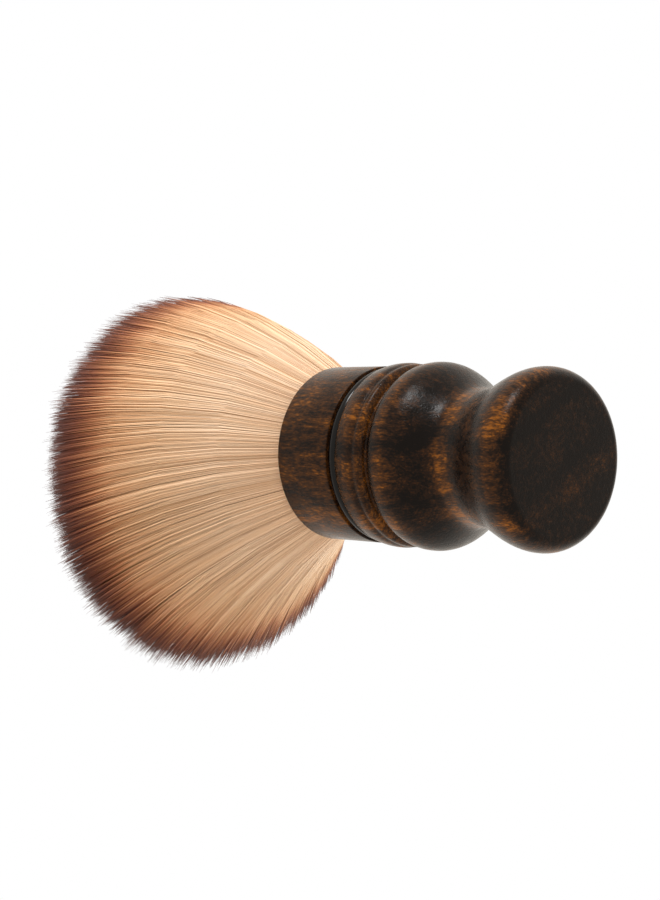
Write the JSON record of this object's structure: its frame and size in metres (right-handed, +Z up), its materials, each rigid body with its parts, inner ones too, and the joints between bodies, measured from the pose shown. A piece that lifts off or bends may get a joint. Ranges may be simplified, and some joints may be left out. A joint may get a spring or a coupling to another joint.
{
  "type": "neck duster brush",
  "caption": "Barber's neck duster: a turned, dark-stained wooden handle with a black ring and a flared knot of soft tan bristles with dark tips.",
  "frame": {"origin": "centre of the handle's flat end face, which the brush stands on", "axes": "+Z up the handle's axis, from the end face towards the bristles; the soft head sags towards -X; +Y completes the right-handed frame"},
  "size_m": [0.093, 0.093, 0.1356],
  "materials": {
    "stained_wood": "dark walnut stain under clear gloss lacquer",
    "black_ring": "gloss black",
    "tan_bristle": "fine nylon filament, tan with dark brown tips",
    "waxed_thread": "waxed thread",
    "cast_resin": "cast resin",
    "set_adhesive": "set adhesive"
  },
  "bodies": {
    "root": {"handle": "stained_wood", "groove_ring": "black_ring", "bristle_knot": "tan_bristle", "knot_binding": "waxed_thread", "knot_plug": "cast_resin", "adhesive_bed": "set_adhesive"}
  },
  "joints": []
}
